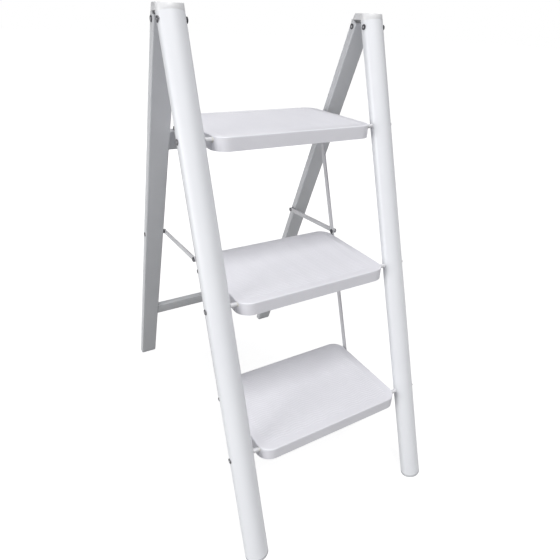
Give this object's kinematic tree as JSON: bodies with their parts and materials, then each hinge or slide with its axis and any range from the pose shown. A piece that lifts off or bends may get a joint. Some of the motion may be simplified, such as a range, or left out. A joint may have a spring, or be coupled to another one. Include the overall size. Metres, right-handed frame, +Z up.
{
  "type": "step ladder",
  "caption": "Folding step ladder with oval front stiles, flat rear legs, pressed treads on cross axles, and a link-bar and brace linkage that folds it flat.",
  "frame": {"origin": "floor level, at the centre of the open ladder's footprint", "axes": "+Z up, +Y towards the rear legs, +X towards the right-hand stile as seen by someone climbing"},
  "size_m": [0.431, 0.7178, 0.893],
  "materials": {
    "stile_paint": "satin white powder coat",
    "rear_paint": "satin light-grey-white powder coat",
    "tread_paint": "satin white powder coat over a fine wave pattern",
    "axle_paint": "satin white paint",
    "link_paint": "satin white powder coat",
    "cap_plastic": "smooth white moulded plastic",
    "foot_plastic": "fine-textured pale grey moulded plastic",
    "bush_nylon": "natural nylon",
    "zinc_sheet": "bright zinc-plated sheet",
    "zinc_fastener": "dark zinc-plated steel"
  },
  "bodies": {
    "front_frame": {"stile_left": "stile_paint", "stile_right": "stile_paint", "stile_foot_left": "foot_plastic", "stile_foot_right": "foot_plastic", "hinge_cap_left": "cap_plastic", "hinge_cap_right": "cap_plastic", "cap_bolts": "zinc_fastener", "cap_nuts": "zinc_fastener", "hinge_pins": "zinc_fastener", "hinge_pin_nuts": "zinc_fastener", "axle_top": "axle_paint", "axle_middle": "axle_paint", "axle_bottom": "axle_paint", "axle_bolts": "zinc_fastener"},
    "rear_frame": {"rear_leg_left": "rear_paint", "rear_leg_right": "rear_paint", "rear_foot_left": "foot_plastic", "rear_foot_right": "foot_plastic", "upper_crossbar": "rear_paint", "lower_crossbar": "rear_paint", "brace_bolts": "zinc_fastener", "brace_bolt_nuts": "zinc_fastener", "brace_spacers": "zinc_fastener"},
    "step_top": {"tread_top": "tread_paint", "stiffener_top": "zinc_sheet", "bushes_top": "bush_nylon", "link_pins_top": "zinc_fastener"},
    "step_middle": {"tread_middle": "tread_paint", "stiffener_middle": "zinc_sheet", "bushes_middle": "bush_nylon", "link_pins_middle": "zinc_fastener"},
    "step_bottom": {"tread_bottom": "tread_paint", "stiffener_bottom": "zinc_sheet", "bushes_bottom": "bush_nylon", "link_pins_bottom": "zinc_fastener"},
    "link_left": {"link_bar_left": "link_paint", "link_stud_left": "zinc_fastener"},
    "strut_left": {"brace_left": "link_paint", "brace_nut_left": "zinc_fastener"},
    "link_right": {"link_bar_right": "link_paint", "link_stud_right": "zinc_fastener"},
    "strut_right": {"brace_right": "link_paint", "brace_nut_right": "zinc_fastener"}
  },
  "joints": [
    {"name": "rear_fold", "type": "hinge", "parent": "front_frame", "child": "rear_frame", "pos_m": [0, -0.00662, 0.8707], "axis": [-1, 0, 0], "range_deg": [0, 41.3]},
    {"name": "step_fold_top", "type": "hinge", "parent": "front_frame", "child": "step_top", "pos_m": [0, -0.09935, 0.7045], "axis": [1, 0, 0], "range_deg": [0, 71]},
    {"name": "step_fold_middle", "type": "hinge", "parent": "front_frame", "child": "step_middle", "pos_m": [0, -0.18802, 0.447], "axis": [1, 0, 0], "range_deg": [0, 71]},
    {"name": "step_fold_bottom", "type": "hinge", "parent": "front_frame", "child": "step_bottom", "pos_m": [0, -0.27668, 0.1895], "axis": [1, 0, 0], "range_deg": [0, 71]},
    {"name": "link_swing_left", "type": "hinge", "parent": "step_middle", "child": "link_left", "pos_m": [-0.162, -0.02682, 0.4345], "axis": [-1, 0, 0], "range_deg": [0, 71]},
    {"name": "link_swing_right", "type": "hinge", "parent": "step_middle", "child": "link_right", "pos_m": [0.162, -0.02682, 0.4345], "axis": [-1, 0, 0], "range_deg": [0, 71]},
    {"name": "brace_swing_left", "type": "hinge", "parent": "rear_frame", "child": "strut_left", "pos_m": [-0.167, 0.1676, 0.4459], "axis": [-1, 0, 0], "range_deg": [0, 57.53]},
    {"name": "brace_swing_right", "type": "hinge", "parent": "rear_frame", "child": "strut_right", "pos_m": [0.167, 0.1676, 0.4459], "axis": [-1, 0, 0], "range_deg": [0, 57.53]}
  ],
  "couplings": [
    {"joint": "step_fold_top", "follows": "rear_fold", "ratio": 1.7191},
    {"joint": "step_fold_middle", "follows": "rear_fold", "ratio": 1.7191},
    {"joint": "step_fold_bottom", "follows": "rear_fold", "ratio": 1.7191},
    {"joint": "link_swing_left", "follows": "rear_fold", "ratio": 1.7191},
    {"joint": "link_swing_right", "follows": "rear_fold", "ratio": 1.7191},
    {"joint": "brace_swing_left", "follows": "rear_fold", "ratio": 1.3924},
    {"joint": "brace_swing_right", "follows": "rear_fold", "ratio": 1.3924}
  ]
}
